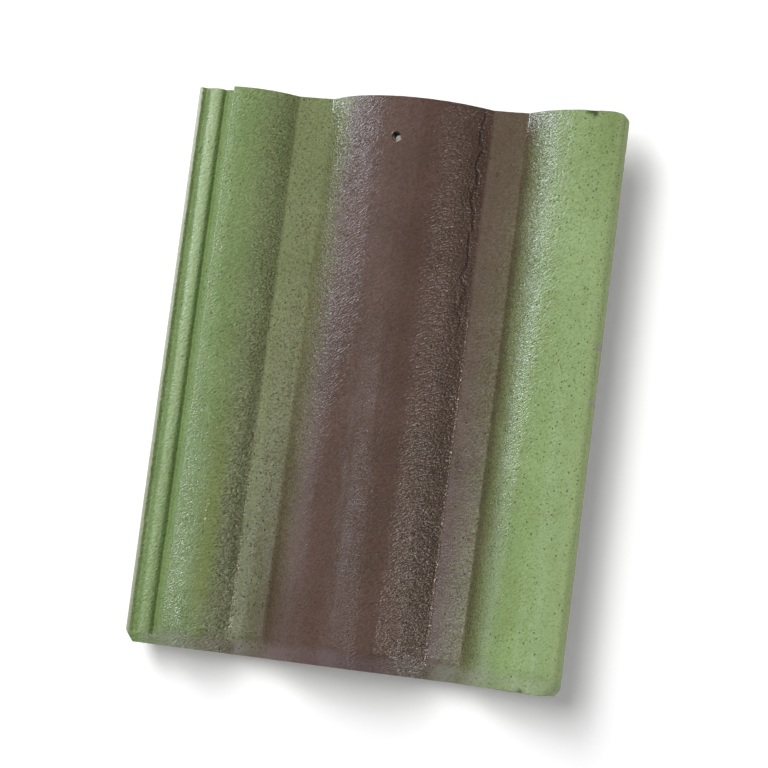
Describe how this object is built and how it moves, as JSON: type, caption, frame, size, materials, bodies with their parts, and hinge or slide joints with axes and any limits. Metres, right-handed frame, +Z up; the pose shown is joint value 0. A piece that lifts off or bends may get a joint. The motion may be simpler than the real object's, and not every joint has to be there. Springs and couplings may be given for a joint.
{
  "type": "roof tile",
  "caption": "Interlocking roof tile with flat pans between low rolls, a grooved side lock, a covering edge, a bevelled tail, hanging nibs and a nail hole.",
  "frame": {"origin": "middle of the tile's outline in plan, on the floor that its nibs and weather bars lie on", "axes": "+X across the tile from the grooved lock to the covering edge, +Y from the tail to the head, +Z up"},
  "size_m": [0.33, 0.42, 0.052],
  "materials": {
    "tile": "sandy concrete body with a moss green coat, a brown sprayed band along the middle and a thin clear sealer"
  },
  "bodies": {
    "root": {"roof_tile": "tile"}
  },
  "joints": []
}
